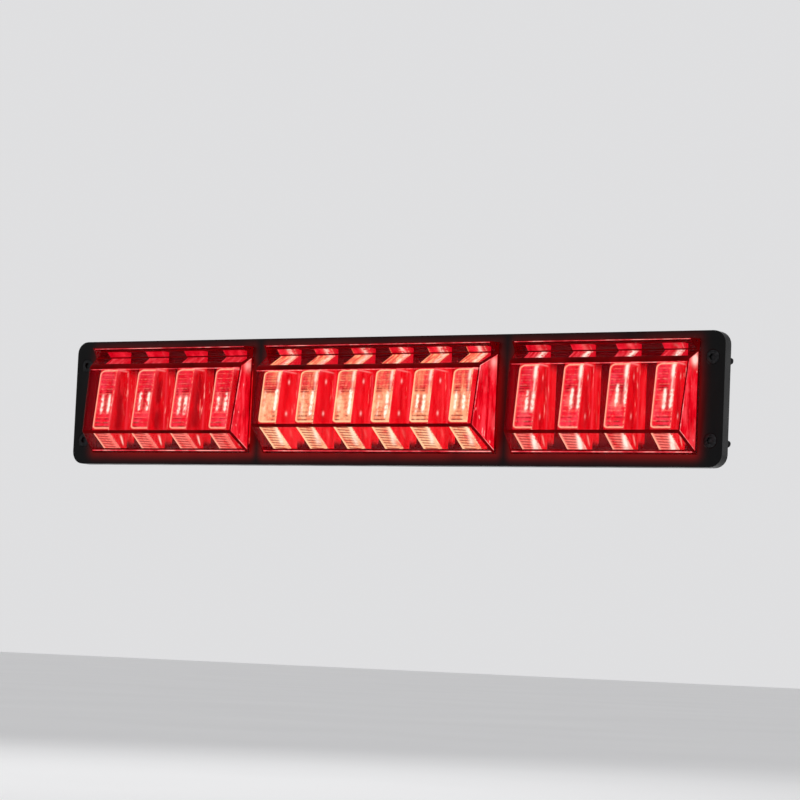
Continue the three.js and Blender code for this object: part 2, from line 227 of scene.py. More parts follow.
def bezel_material():
    """Glossy black plastic that catches the red light spilling out of the windows."""
    s = Shader("bezel_black", Specular_IOR_Level=0.12, Emission_Strength=1.0)
    x, _, z = s.axes()
    above = s.either(s.math("SUBTRACT", WINDOW_BOTTOM, z), s.math("SUBTRACT", z, WINDOW_TOP), 0.0)
    beside = None
    for centre, half, _ in WINDOWS:
        away = s.math("SUBTRACT", s.math("ABSOLUTE", s.math("SUBTRACT", x, centre)), half)
        beside = away if beside is None else s.math("MINIMUM", beside, away)
    beside = s.math("MAXIMUM", beside, 0.0)
    distance = s.math("SQRT", s.math("ADD", s.product(above, above), s.product(beside, beside)))
    cloud = s.noise(35.0, 4.0)
    fade = s.product(s.math("MULTIPLY_ADD", s.step(z, 10.0, 33.0), -0.7, 1.0),
                     s.math("MULTIPLY_ADD", s.step(s.math("ABSOLUTE", x), 190.0, 197.0), -0.5, 1.0))
    # painted red glow of light spilling out of the windows onto the bezel, fading towards the top and the
    # ends
    spill = s.product(s.band(distance, 0.0, 3.6), s.step(cloud, 0.0, 0.55), fade)
    s.set("Emission Color", s.mix(spill, (0.0, 0.0, 0.0), (0.17, 0.0, 0.0)))
    s.set("Base Color", s.ramp(cloud, (0.3, (0.0015, 0.0015, 0.002)), (0.75, (0.004, 0.004, 0.004))))
    s.set("Roughness", s.ramp(s.noise(90.0, 3.0), (0.3, 0.24), (0.7, 0.38)))
    s.bump(s.noise(500.0, 3.0, 0.65), 0.05, 0.0002)
    return s.material


def lens_material():
    """Clear red polycarbonate with faint flow marks."""
    s = Shader("lens_red", IOR=1.58, Alpha=0.21, Specular_IOR_Level=0.2)
    flow = s.noise(18.0, 2.0, 0.4, s.stretched((0.4, 1.0, 1.6)))
    s.set("Base Color", s.ramp(flow, (0.25, (0.30, 0.0, 0.004)), (0.8, (0.42, 0.001, 0.008))))
    s.set("Roughness", s.ramp(s.noise(240.0, 4.0), (0.35, 0.03), (0.8, 0.11)))
    s.bump(s.noise(60.0, 2.0, 0.4), 0.05, 0.0002)
    return s.material


def lens_edge_material():
    """The rounded ridges of the lens, which turn most light away and look dark."""
    s = Shader("lens_edge", IOR=1.58, Emission_Strength=1.0, Specular_IOR_Level=0.02)
    cloud = s.noise(60.0, 3.0, 0.6, s.stretched((1.0, 1.0, 0.4)))
    s.set("Base Color", s.ramp(cloud, (0.3, (0.01, 0.0, 0.0)), (0.8, (0.03, 0.0, 0.001))))
    # painted faint red glow of the fins' light on the dark ridges
    s.set("Emission Color", s.ramp(cloud, (0.35, (0.045, 0.0, 0.0)), (0.75, (0.18, 0.0, 0.001))))
    s.set("Roughness", s.ramp(s.noise(300.0, 3.0), (0.3, 0.12), (0.8, 0.25)))
    return s.material


def lens_end_material():
    """The outside of an end wall: stray light from the last fin makes it glow a streaky red."""
    s = Shader("lens_end", IOR=1.58, Emission_Strength=1.1, Specular_IOR_Level=0.05)
    streak = s.noise(170.0, 5.0, 0.7, s.stretched((1.0, 1.6, 0.2)))
    cloud = s.noise(90.0, 4.0, 0.6, s.stretched((1.0, 1.0, 0.55)))
    # painted glow of stray light from the last fin, streaky and cloudy
    glow = s.ramp(
        streak, (0.36, (0.52, 0.0, 0.003)), (0.5, (0.92, 0.004, 0.016)), (0.64, (1.12, 0.06, 0.085)))
    glow = s.mix(s.product(s.step(cloud, 0.52, 0.66), 0.55), glow, (1.1, 0.11, 0.13))
    glow = s.mix(s.product(s.step(cloud, 0.46, 0.36), 0.5), glow, (0.45, 0.0, 0.002))
    # painted bright glint specks
    glint_speck = s.step(s.noise(520.0, 2.0, 0.5, s.stretched((1.0, 1.0, 0.45))), 0.68, 0.74)
    x, y, z = s.axes()
    glow = s.mix(s.math("MULTIPLY", glint_speck, 0.8), glow, (1.3, 0.50, 0.45))
    # painted hot spot of light at the top back corner, stronger in the right window
    corner = s.product(s.band(y, -15.2, 2.6), s.band(z, 20.4, 3.0), s.step(cloud, 0.26, 0.46),
                       s.math("MULTIPLY_ADD", s.step(x, 100.0, 160.0), 0.75, 0.45))
    glow = s.mix(s.math("MULTIPLY", corner, 1.2, clamp=True), glow, (1.4, 0.80, 0.70))
    s.set("Base Color", s.ramp(cloud, (0.3, (0.08, 0.0, 0.001)), (0.7, (0.12, 0.0, 0.003))))
    s.set("Emission Color", glow)
    s.set("Roughness", s.ramp(s.noise(240.0, 3.0), (0.3, 0.06), (0.8, 0.16)))
    return s.material


def lens_inner_material():
    """The inside of an end wall: red beside the first fin, dark towards the front."""
    s = Shader("lens_inner", IOR=1.58, Emission_Strength=1.0, Specular_IOR_Level=0.06)
    x, depth, _ = s.axes()
    # painted red light near the fin and painted shade towards the front, fainter in the left window
    near_fin = s.product(
        s.step(depth, -25.0, -6.0), s.math("MULTIPLY_ADD", s.step(x, -190.0, -90.0), 0.65, 0.35))
    streak = s.noise(160.0, 3.0, 0.6, s.stretched((1.0, 1.5, 0.2)))
    dim = s.ramp(streak, (0.3, (0.008, 0.0, 0.0)), (0.8, (0.035, 0.0, 0.0)))
    lit = s.ramp(streak, (0.3, (0.22, 0.0, 0.001)), (0.8, (0.55, 0.0, 0.008)))
    s.set("Emission Color", s.mix(near_fin, dim, lit))
    s.set("Base Color", s.ramp(streak, (0.3, (0.03, 0.0, 0.001)), (0.8, (0.06, 0.0, 0.002))))
    s.set("Roughness", s.ramp(s.noise(240.0), (0.3, 0.1), (0.8, 0.2)))
    return s.material


def lens_glint_material():
    """The thin bright lines where the lens's walls pipe light to an edge."""
    s = Shader("lens_glint", IOR=1.58, Emission_Strength=1.1, Roughness=0.2)
    sparkle = s.noise(95.0, 4.0, 0.7)
    s.set("Emission Color", s.ramp(
        sparkle, (0.36, (0.55, 0.0, 0.008)), (0.48, (1.05, 0.06, 0.085)), (0.62, (1.3, 0.42, 0.38))))
    s.set("Base Color", s.ramp(sparkle, (0.3, (0.1, 0.0, 0.002)), (0.7, (0.2, 0.01, 0.01))))
    return s.material


def rounded_border(s, x, height, radius):
    """How far inside an outline with a rounded corner: x from its side, height from its end."""
    near_side = s.math("MAXIMUM", s.math("SUBTRACT", radius, x), 0.0)
    near_end = s.math("MAXIMUM", s.math("SUBTRACT", radius, height), 0.0)
    corner = s.math("SQRT", s.math("ADD", s.product(near_side, near_side), s.product(near_end, near_end)))
    return s.math("SUBTRACT", radius, corner)


def fin_face_material(name, deep, pale, edge, hot, share, strip_dark, strip_pale):
    """The lit face of a fin: cross ribs, a bright rounded outline and the LED's hot dashes."""
    s = Shader(name, IOR=1.49, Roughness=0.2, Emission_Strength=1.24, Specular_IOR_Level=0.05)
    across, tall, run = s.attribute("across"), s.attribute("tall"), s.attribute("run")
    crown, gold = s.attribute("crown"), s.attribute("gold")
    sway = s.math("MULTIPLY", s.math("SUBTRACT", s.attribute("seed"), 0.5), 0.10)
    cloud = s.noise(190.0, 4.0, 0.65, s.stretched((1.0, 0.4, 0.6)))
    grit = s.noise(1000.0, 3.0, 0.7, s.stretched((1.0, 0.5, 1.4)))
    lower_half = s.math("SUBTRACT", 1.0, s.step(tall, 0.46, 0.72))
    warmth = s.math("ADD", cloud, s.product(s.math("SUBTRACT", lower_half, 0.6), gold, 0.22))
    glow = s.mix(s.step(warmth, share, share + 0.24), deep, pale)
    cream = s.product(s.step(warmth, share + 0.20, share + 0.42), s.math("MULTIPLY_ADD", gold, 0.6, 0.25))
    glow = s.mix(cream, glow, edge)
    glow = s.mix(s.product(s.step(grit, 0.55, 0.68), 0.17), glow, edge)
    halo = s.product(s.band(across, 0.58, 0.30), s.band(tall, 0.42, 0.13), s.attribute("first_heat"),
                     s.step(cloud, 0.36, 0.60), 0.42)
    glow = s.mix(halo, glow, edge)
    upright = s.math("GREATER_THAN", run, 0.0)
    glow = s.mix(s.product(s.math("SUBTRACT", 1.0, upright), s.step(cloud, 0.30, 0.55), 0.38), glow, edge)

    # cross ribs, crispest at the foot and in the bar at mid height; a ladder below the foot
    foot = s.math("SUBTRACT", 1.0, s.step(tall, 0.14, 0.26))
    bar = s.between(tall, 0.55, 0.66, 0.025)
    rib = s.math("POWER", s.wave(run, RIB_PITCH), 2.5)
    fine_rib = s.math("POWER", s.wave(run, RIB_PITCH * 0.62), 2.0)
    patchy = s.step(s.noise(300.0, 2.0, 0.5, s.stretched((1.0, 0.3, 0.3))), 0.36, 0.58)
    inside = s.between(across, 0.12, 0.90, 0.04)
    high = s.step(tall, 0.60, 0.70)
    lines = s.either(s.product(rib, s.math("MULTIPLY_ADD", foot, 0.78, 0.22)), s.product(fine_rib, bar),
                     s.product(fine_rib, high, 0.5))
    glow = s.mix(s.product(bar, patchy, inside, upright, 0.45), glow, (0.62, 0.0, 0.012))
    glow = s.mix(s.product(lines, patchy, inside, upright), glow, (0.20, 0.0, 0.003))
    cells = s.math("POWER", s.wave(across, 0.2), 9.0)
    glow = s.mix(s.product(cells, inside, s.math("MULTIPLY_ADD", high, 0.26, 0.16)), glow, (0.42, 0.0, 0.008))
    bright_line = s.math("POWER", s.wave(s.math("ADD", run, RIB_PITCH * 0.4), RIB_PITCH * 1.24), 8.0)
    glow = s.mix(s.product(bright_line, inside, upright, s.step(grit, 0.44, 0.60), 0.36), glow, edge)
    seam = s.product(s.band(across, 0.74, 0.016), s.step(tall, 0.60, 0.66), 0.6)
    glow = s.mix(seam, glow, (0.55, 0.01, 0.02))
    ladder = s.product(
        s.math("POWER", s.wave(s.math("MULTIPLY_ADD", across, 0.9, run), RIB_PITCH), 1.3),
        s.between(across, 0.12, 0.76, 0.06), s.math("SUBTRACT", 1.0, upright), 0.95)
    glow = s.mix(ladder, glow, (0.28, 0.0, 0.003))

    # hot dashes in two columns, broken up by the ribs
    first = s.band(across, s.math("ADD", s.attribute("first"), sway), 0.065)
    second = s.band(across, s.math("SUBTRACT", s.attribute("second"), sway), 0.070)
    height = s.math("ADD", tall, sway)
    low_end = s.step(s.math("SUBTRACT", height, s.attribute("dash_low")), -0.05, 0.05)
    high_end = s.step(s.math("SUBTRACT", s.attribute("dash_high"), height), -0.05, 0.05)
    ragged = s.step(s.noise(430.0, 3.0, 0.75, s.stretched((1.0, 0.5, 0.6))), 0.34, 0.58)
    beads = s.product(s.math("MULTIPLY_ADD", s.wave(run, 3.1), 0.65, 0.6), ragged, 1.4)
    middle = s.math("MULTIPLY", s.math("ADD", s.attribute("first"), s.attribute("second")), 0.5)
    between_dashes = s.product(
        s.band(across, middle, 0.09), low_end, high_end, s.attribute("first_heat"), 0.75)
    glow = s.mix(between_dashes, glow, (0.45, 0.0, 0.010))
    crest = s.product(crown, s.band(across, 0.86, 0.085), s.between(tall, 0.74, 0.99, 0.06))
    tail = s.product(crown, s.band(across, 0.86, 0.05), s.between(tall, 0.52, 0.80, 0.10), 0.5)
    slide = s.math("MULTIPLY_ADD", run, 0.022, 1.02)
    toe = s.product(crown, s.band(across, slide, 0.13), s.between(run, -17.5, -3.0, 3.0),
                    s.math("MULTIPLY_ADD", ragged, 0.5, 0.5))
    dashes = s.either(s.product(first, s.attribute("first_heat")), second)
    heat = s.either(s.product(dashes, low_end, high_end, beads, 1.5),
                    s.math("MULTIPLY", s.either(crest, tail, toe), 1.25))
    glow = s.mix(s.math("MULTIPLY", heat, 1.0, clamp=True), glow, hot)

    # bright outline with rounded corners on its left side; past it the fin falls away
    x = s.math("MULTIPLY", across, FIN_WIDTH)
    from_top = s.math("MULTIPLY", s.math("SUBTRACT", 0.955, tall), 36.0)
    inset = s.math("MINIMUM", rounded_border(s, x, from_top, 3.4),
                   rounded_border(s, x, s.math("SUBTRACT", run, 1.0), 2.2))
    outside = s.product(s.math("SUBTRACT", 1.0, s.step(inset, -0.25, 0.1)), upright)
    glow = s.mix(outside, glow, (0.70, 0.0, 0.008))
    outline = s.product(
        s.band(inset, 0.42, 0.46), upright, s.math("MULTIPLY_ADD", s.step(grit, 0.35, 0.6), 0.35, 0.75))
    below = s.product(s.math("SUBTRACT", 1.0, upright), s.band(across, 0.03, 0.055))
    right = s.product(s.band(across, 0.985, 0.035), s.math("MULTIPLY_ADD", s.step(grit, 0.4, 0.6), 0.4, 0.35))
    border = s.math("MULTIPLY", s.either(outline, below, right), 1.0, clamp=True)
    glow = s.mix(border, glow, edge)

    # the two facets above: streaks and a hot spot on the lower one, cloudy red on the lip
    streaky = s.noise(700.0, 3.0, 0.6, s.stretched((1.0, 0.12, 0.12)))
    spot = s.product(crown, s.step(s.noise(500.0, 3.0, 0.7), 0.36, 0.52))
    upper = s.mix(s.step(streaky, 0.42, 0.64), strip_dark, strip_pale)
    upper = s.mix(s.product(s.band(across, 0.76, 0.14), spot), upper, hot)
    lip = s.mix(s.step(cloud, 0.40, 0.60), (0.66, 0.0, 0.010), (1.05, 0.022, 0.048))
    lip = s.mix(s.product(s.band(across, 0.66, 0.13), spot, gold), lip, hot)
    upper = s.mix(s.attribute("lip"), upper, lip)
    glow = s.mix(s.step(tall, 1.01, 1.04), glow, upper)
    s.set("Emission Color", glow)
    s.set("Base Color", s.ramp(cloud, (0.3, (0.08, 0.003, 0.005)), (0.7, (0.11, 0.008, 0.010))))
    return s.material


def fin_side_material():
    """A fin's flank: saturated red, mottled darker inside, with bright flecks near the back."""
    s = Shader("fin_side", IOR=1.49, Roughness=0.15, Emission_Strength=1.24, Specular_IOR_Level=0.05)
    tall, depth, back = s.attribute("tall"), s.attribute("depth"), s.attribute("back")
    dim = s.attribute("dim")
    clear = s.math("SUBTRACT", 1.0, dim)
    streak = s.noise(130.0, 5.0, 0.65, s.stretched((1.0, 2.0, 0.3)))
    cloud = s.noise(85.0, 4.0, 0.6, s.stretched((1.0, 1.8, 0.8)))
    glow = s.ramp(
        streak, (0.34, (0.76, 0.0, 0.004)), (0.5, (1.06, 0.004, 0.010)), (0.66, (1.16, 0.030, 0.042)))
    glow = s.mix(s.product(dim, 0.26), glow, (0.34, 0.0, 0.001))
    dark = s.product(s.band(back, 0.46, 0.30), s.between(tall, 0.02, 0.92, 0.08), s.step(cloud, 0.40, 0.54))
    glow = s.mix(s.product(dark, s.math("MULTIPLY_ADD", dim, 0.72, 0.10)), glow, (0.22, 0.0, 0.001))
    skin = s.math("SUBTRACT", 1.0, s.step(depth, 0.25, 1.5))
    crown = s.product(s.math("SUBTRACT", 1.0, s.step(depth, 1.0, 5.0)), s.step(tall, 0.82, 0.97), 0.7)
    glow = s.mix(s.either(s.math("MULTIPLY", skin, 0.45), crown), glow, (1.1, 0.09, 0.12))
    top_line = s.product(s.band(tall, 0.955, 0.014), s.math("SUBTRACT", 1.0, s.step(back, 0.55, 0.95)), 0.75)
    glow = s.mix(top_line, glow, (1.2, 0.34, 0.32))
    rear_line = s.product(s.band(back, 0.90, 0.05), s.between(tall, 0.04, 0.94, 0.03), 0.5)
    glow = s.mix(rear_line, glow, (1.1, 0.07, 0.10))
    fleck = s.step(s.noise(330.0, 3.0, 0.65, s.stretched((1.0, 1.6, 0.3))), 0.58, 0.66)
    place = s.product(s.between(back, 0.64, 0.98, 0.06), s.between(tall, 0.22, 0.95, 0.06))
    glow = s.mix(s.product(fleck, place, s.math("MULTIPLY_ADD", dim, 0.6, 0.3)), glow, (1.3, 0.50, 0.40))
    for height in (0.21, 0.77):
        glint = s.product(s.band(back, 0.42, 0.045), s.band(tall, height, 0.035), clear, 1.1)
        glow = s.mix(s.math("MULTIPLY", glint, 1.0, clamp=True), glow, (1.3, 0.55, 0.50))
    streak_below = s.product(s.band(back, 0.62, 0.07), s.between(tall, -0.30, -0.08, 0.06), dim)
    glow = s.mix(streak_below, glow, (1.3, 0.75, 0.62))
    _, _, z = s.axes()
    near_end = s.either(s.step(z, 14.0, 22.0), s.step(s.math("MULTIPLY", z, -1.0), 20.5, 25.0))
    root_end = s.product(s.step(depth, 40.0, 50.0), near_end)
    glow = s.mix(root_end, glow, (0.035, 0.0, 0.0))
    fold = s.step(tall, 1.02, 1.08)
    glow = s.mix(s.math("MULTIPLY", fold, 0.85), glow, (0.72, 0.003, 0.016))
    s.set("Emission Color", glow)
    s.set("Base Color", s.ramp(streak, (0.3, (0.05, 0.0, 0.001)), (0.7, (0.08, 0.0, 0.002))))
    return s.material


def mask_material():
    """Dark plastic between the fins that catches a little of their light."""
    s = Shader("mask_dark", Emission_Strength=1.0, Specular_IOR_Level=0.1)
    cloud = s.noise(70.0, 3.0)
    s.set("Base Color", s.ramp(cloud, (0.3, (0.010, 0.001, 0.001)), (0.75, (0.03, 0.002, 0.003))))
    faint = s.ramp(cloud, (0.3, (0.010, 0.0, 0.0)), (0.75, (0.035, 0.0, 0.001)))
    lit = s.ramp(cloud, (0.3, (0.16, 0.0, 0.0)), (0.75, (0.30, 0.0, 0.002)))
    _, _, z = s.axes()
    # painted light from the fins, strongest between -21 and 14 mm in height
    s.set("Emission Color", s.mix(s.between(z, -21.0, 14.0, 6.0), faint, lit))
    s.set("Roughness", s.ramp(s.noise(200.0), (0.3, 0.4), (0.7, 0.6)))
    s.bump(s.noise(900.0, 2.0), 0.2, 0.0001)
    return s.material


def led_material():
    """An amber LED package with a red glow."""
    s = Shader("led_package", Emission_Strength=6.0)
    glow = s.noise(900.0, 2.0)
    s.set("Base Color", s.ramp(glow, (0.3, (0.8, 0.6, 0.3)), (0.7, (0.95, 0.8, 0.5))))
    s.set("Emission Color", s.ramp(glow, (0.3, (1.0, 0.06, 0.05)), (0.7, (1.0, 0.16, 0.12))))
    s.set("Roughness", s.ramp(glow, (0.3, 0.15), (0.7, 0.3)))
    return s.material


def board_material():
    """Green solder mask over copper: broad traces show as a slightly paler, raised pattern."""
    s = Shader("board_green")
    cells = s.node("ShaderNodeTexBrick")
    s.plug(cells.inputs["Vector"], s.stretched((120.0, 120.0, 120.0)))
    cells.inputs["Mortar Size"].default_value = 0.06
    weave = s.noise(1500.0, 2.0)
    copper = s.mix(cells.outputs["Fac"], (0.006, 0.075, 0.028), (0.012, 0.13, 0.05))
    s.set("Base Color", s.mix(s.math("MULTIPLY", weave, 0.3), copper, (0.004, 0.05, 0.02)))
    s.set("Roughness", s.ramp(weave, (0.3, 0.3), (0.7, 0.45)))
    s.bump(cells.outputs["Fac"], 0.3, 0.0001)
    return s.material


def rubber_material(name, scale, depth):
    """Dull black rubber or foam, with cells of a given scale and depth."""
    s = Shader(name)
    cells = s.node("ShaderNodeTexVoronoi")
    s.plug(cells.inputs["Vector"], s.point)
    cells.inputs["Scale"].default_value = scale
    s.set("Base Color", s.ramp(s.noise(60.0), (0.3, (0.012, 0.012, 0.013)), (0.75, (0.035, 0.035, 0.037))))
    s.set("Roughness", s.ramp(s.noise(400.0), (0.3, 0.75), (0.7, 0.95)))
    s.bump(cells.outputs["Distance"], 0.6, depth)
    return s.material


def metal_material(name, dark, pale, roughness):
    """Metal with fine marks along Y."""
    s = Shader(name, Metallic=1.0)
    turning = s.noise(700.0, 4.0, 0.6, s.stretched((1.0, 0.12, 1.0)))
    s.set("Base Color", s.ramp(turning, (0.3, dark), (0.7, pale)))
    s.set("Roughness", s.ramp(s.noise(260.0), (0.3, roughness * 0.7), (0.7, roughness * 1.3)))
    s.bump(turning, 0.12, 0.0001)
    return s.material


MATERIALS = {
    "housing_black": moulded_plastic(
        "housing_black", (0.014, 0.014, 0.015), 0.5, 1400.0, 0.35, (0.03, 0.03, 0.032)),
    "bezel_black": bezel_material(),
    "lens_red": lens_material(),
    "lens_edge": lens_edge_material(),
    "lens_end": lens_end_material(),
    "lens_inner": lens_inner_material(),
    "lens_glint": lens_glint_material(),
    "fin_outer": fin_face_material(
        "fin_outer", (1.08, 0.005, 0.026), (1.18, 0.050, 0.095), (1.35, 0.58, 0.38), (1.4, 1.15, 0.98), 0.39,
        (0.62, 0.004, 0.014), (1.0, 0.075, 0.10)),
    "fin_centre": fin_face_material(
        "fin_centre", (1.15, 0.075, 0.075), (1.2, 0.34, 0.17), (1.35, 0.84, 0.46), (1.5, 1.35, 1.08), 0.30,
        (1.0, 0.10, 0.07), (1.3, 0.62, 0.30)),
    "fin_side": fin_side_material(),
    "mask_dark": mask_material(),
    "tray_white": moulded_plastic("tray_white", (0.75, 0.74, 0.72), 0.5, 900.0, 0.1, (0.85, 0.84, 0.82)),
    "board_green": board_material(),
    "led_package": led_material(),
    "chip_black": moulded_plastic("chip_black", (0.012, 0.012, 0.013), 0.55, 2500.0, 0.3, (0.03, 0.03, 0.03)),
    "rubber_black": rubber_material("rubber_black", 900.0, 0.00005),
    "foam_black": rubber_material("foam_black", 1600.0, 0.0002),
    "screw_steel": metal_material("screw_steel", (0.42, 0.43, 0.45), (0.62, 0.63, 0.65), 0.35),
    "screw_black": metal_material("screw_black", (0.012, 0.012, 0.013), (0.04, 0.04, 0.042), 0.4),
    "pin_tin": metal_material("pin_tin", (0.6, 0.58, 0.54), (0.78, 0.76, 0.72), 0.3),
    "membrane_white": moulded_plastic(
        "membrane_white", (0.75, 0.75, 0.73), 0.85, 3000.0, 0.5, (0.85, 0.85, 0.83)),
}


# ---------------------------------------------------------------- meshes

def add_object(name, bm, looks, smooth_angle):
    """An object made from a bmesh, shaded smooth except where its edges turn past an angle."""
    mesh = bpy.data.meshes.new(name)
    bm.to_mesh(mesh)
    bm.free()
    piece = bpy.data.objects.new(name, mesh)
    scene.collection.objects.link(piece)
    for key in looks:
        mesh.materials.append(MATERIALS[key])
    mesh.polygons.foreach_set("use_smooth", [True] * len(mesh.polygons))
    mesh.set_sharp_from_angle(angle=math.radians(smooth_angle))
    return piece


def clean_copy(node):
    """A bmesh of a CAD node with its flat faces in one piece each."""
    bm = bmesh.new()
    bm.from_mesh(nodes[node].data)
    bmesh.ops.remove_doubles(bm, verts=bm.verts, dist=1e-6)
    bmesh.ops.dissolve_limit(bm, angle_limit=math.radians(0.5), verts=bm.verts, edges=bm.edges)
    return bm


def skirt(bm, first, second, material=0):
    """The faces between two closed rings of vertices."""
    for k in range(len(first)):
        nxt = (k + 1) % len(first)
        bm.faces.new((first[k], first[nxt], second[nxt], second[k])).material_index = material


def refined(node, name, slot, bevel, segments=2):
    """A piece that stands for a CAD node, with every sharp edge rounded."""
    piece = add_object(name, clean_copy(node), [slot], 50.0)
    rounding = piece.modifiers.new("rounded_edges", "BEVEL")
    rounding.width = bevel * MM
    rounding.segments = segments
    rounding.limit_method = "ANGLE"
    rounding.angle_limit = math.radians(40.0)
    rounding.harden_normals = True
    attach(piece, "root")
    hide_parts(node)


# ---------------------------------------------------------------- outline of a fin

def window_outline(facets):
    """A window's outside in (y, z), from the bottom round the front to the top of its lip."""
    return [
        (PLATE_FRONT + OPTIC_INSET, WINDOW_BOTTOM),
        (WINDOW_STEP, WINDOW_BOTTOM),
        facets["front_bottom"],
        facets["front_top"],
        (WINDOW_STEP, FOLD_HEIGHT),
        (LIP_FRONT, WINDOW_TOP),
        (PLATE_FRONT + OPTIC_INSET, WINDOW_TOP),
    ]


def inset_outline(points, distance):
    """Moves every edge of an outline inwards by the same distance."""
    edges = []
    for a, b in zip(points, points[1:] + points[:1]):
        along = (Vector(b) - Vector(a)).normalized()
        edges.append((Vector(a) + Vector((along.y, -along.x)) * distance, along))
    corners = []
    for i, (start, along) in enumerate(edges):
        last_start, last_along = edges[i - 1]
        cross = last_along.x * along.y - last_along.y * along.x
        offset = start - last_start
        t = (offset.x * along.y - offset.y * along.x) / cross
        corners.append(last_start + last_along * t)
    return corners


def rounded_path(corners, radii, spacing):
    """Even steps along an open outline, with the corners in radii rounded off."""
    rough = []
    for i, corner in enumerate(corners):
        radius = radii.get(i, 0.0)
        if not radius:
            rough.append(corner)
            continue
        start = corner + (corners[i - 1] - corner).normalized() * radius
        end = corner + (corners[i + 1] - corner).normalized() * radius
        for k in range(9):
            t = k / 8
            rough.append(start * (1 - t) ** 2 + corner * 2 * t * (1 - t) + end * t ** 2)
    path = [rough[0]]
    for a, b in zip(rough, rough[1:]):
        steps = max(1, round((b - a).length / spacing))
        path += [a.lerp(b, k / steps) for k in range(1, steps + 1)]
    return path


FACE, FLANK = 0, 1
FOOT_RADIUS = 2.0
TOP_RADIUS = 5.0
ROW_SPACING = 0.5
RIB_DEPTH = 0.22
EDGE_LAND = 0.07
COLUMNS = [0.0, EDGE_LAND, 0.12, 0.3, 0.5, 0.7, 0.88, 1 - EDGE_LAND, 1.0]
FLANK_STEPS = [0.0, 0.04, 0.12, 0.25, 0.4, 0.55, 0.7, 0.85, 1.0]
FIN_BACK = LENS_BACK - 0.2
ROOT_STEP = -0.2
# the front, back and half height of the two blocks at a fin's root
ROOTS = ((FIN_BACK, ROOT_STEP, 25.5), (ROOT_STEP, PLATE_FRONT, 22.6))
ROOT_DEPTH = 60.0
# values at each vertex that the fins' materials read
LAYERS = ("across", "tall", "run", "depth", "back", "lip", "seed", "first", "second", "first_heat",
          "dash_low", "dash_high", "crown", "dim", "gold")
# for each light guide, where its hot dashes lie and how strong its other looks are
SECTION_LOOKS = {
    "left": {"first": 0.36, "second": 0.79, "first_heat": 0.9, "dash_low": 0.30, "dash_high": 0.55,
             "crown": 0.0, "dim": 1.0, "gold": 0.0},
    "centre": {"first": 0.26, "second": 0.80, "first_heat": 0.2, "dash_low": 0.17, "dash_high": 0.58,
               "crown": 0.55, "dim": 0.1, "gold": 1.0},
    "right": {"first": 0.54, "second": 0.90, "first_heat": 1.0, "dash_low": 0.31, "dash_high": 0.58,
              "crown": 1.0, "dim": 0.45, "gold": 0.1},
}
LATE_CENTRE_LEDS = (9, 10)
LATE_CENTRE_LOOK = {"first": 0.30, "second": 0.66, "first_heat": 0.85, "dash_low": 0.22, "dash_high": 0.50}


def fin_rows(facets):
    """Points up a fin's skin, from the bottom to the lip, with how far along each lies."""
    outline = inset_outline(window_outline(facets), OPTIC_INSET)
    path = rounded_path(outline[1:6], {1: FOOT_RADIUS, 2: TOP_RADIUS}, ROW_SPACING)
    foot = (outline[2] - outline[1]).length
    front = (outline[3] - outline[2]).length
    rows = []
    distance = -foot
    for i, point in enumerate(path):
        distance += (point - path[max(i - 1, 0)]).length
        along = (path[min(i + 1, len(path) - 1)] - path[max(i - 1, 0)]).normalized()
        lip = 1.0 if along.x < 0 and distance > front else 0.0
        rows.append((point, Vector((along.y, -along.x)), distance, distance / front, lip))
    return rows


def fin_geometry(bm, layers, centre_x, facets, look):
    """One fin: a ribbed skin along the window's outline, two flanks, flat ends and blocks at its root."""
    def vertex(x, y, z, **values):
        v = bm.verts.new((x * MM, y * MM, z * MM))
        for key, value in {**look, **values}.items():
            v[layers[key]] = value
        return v

    rows = fin_rows(facets)
    skin = []
    flanks = {-0.5: [], 0.5: []}
    for i, (point, inwards, run, tall, lip) in enumerate(rows):
        end_fade = min(1.0, i / 3, (len(rows) - 1 - i) / 3)
        groove = (0.5 - 0.5 * math.cos(2 * math.pi * run / RIB_PITCH)) * RIB_DEPTH * end_fade
        row = []
        for across in COLUMNS:
            on_land = across <= EDGE_LAND or across >= 1 - EDGE_LAND
            y, z = point if on_land else point + inwards * groove
            x = centre_x + (across - 0.5) * FIN_WIDTH
            row.append(vertex(x, y, z, across=across, tall=tall, run=run, lip=lip))
        skin.append(row)
        for side in flanks:
            x = centre_x + side * FIN_WIDTH
            flanks[side].append([
                vertex(x, point.x + (FIN_BACK - point.x) * back, point.y, tall=tall, run=run,
                       depth=(FIN_BACK - point.x) * back, back=back)
                for back in FLANK_STEPS])

    def sheet(grid, material, flip=False):
        for lower, upper in zip(grid, grid[1:]):
            for k in range(len(lower) - 1):
                ring = (lower[k], lower[k + 1], upper[k + 1], upper[k])
                bm.faces.new(ring[::-1] if flip else ring).material_index = material

    sheet(skin, FACE)
    sheet(flanks[0.5], FLANK)
    sheet(flanks[-0.5], FLANK, flip=True)
    for end, flip in ((0, True), (-1, False)):
        ring = skin[end] + flanks[0.5][end][1:] + flanks[-0.5][end][:0:-1]
        bm.faces.new(ring[::-1] if flip else ring).material_index = FLANK
    rear = [row[-1] for row in flanks[0.5]] + [row[-1] for row in flanks[-0.5]][::-1]
    bm.faces.new(rear).material_index = FLANK
    for y0, y1, reach in ROOTS:
        root = block(bm, (centre_x - FIN_WIDTH / 2, y0, -reach), (centre_x + FIN_WIDTH / 2, y1, reach))
        for v in root:
            for key, value in {**look, "tall": 0.5, "depth": ROOT_DEPTH, "back": 1.0}.items():
                v[layers[key]] = value


def block(bm, low, high):
    """A closed box, in millimetres."""
    verts = [bm.verts.new((x * MM, y * MM, z * MM))
             for x in (low[0], high[0]) for y in (low[1], high[1]) for z in (low[2], high[2])]
    for ids in ((0, 1, 3, 2), (4, 6, 7, 5), (0, 4, 5, 1), (2, 3, 7, 6), (0, 2, 6, 4), (1, 5, 7, 3)):
        bm.faces.new([verts[i] for i in ids]).material_index = FLANK
    return verts


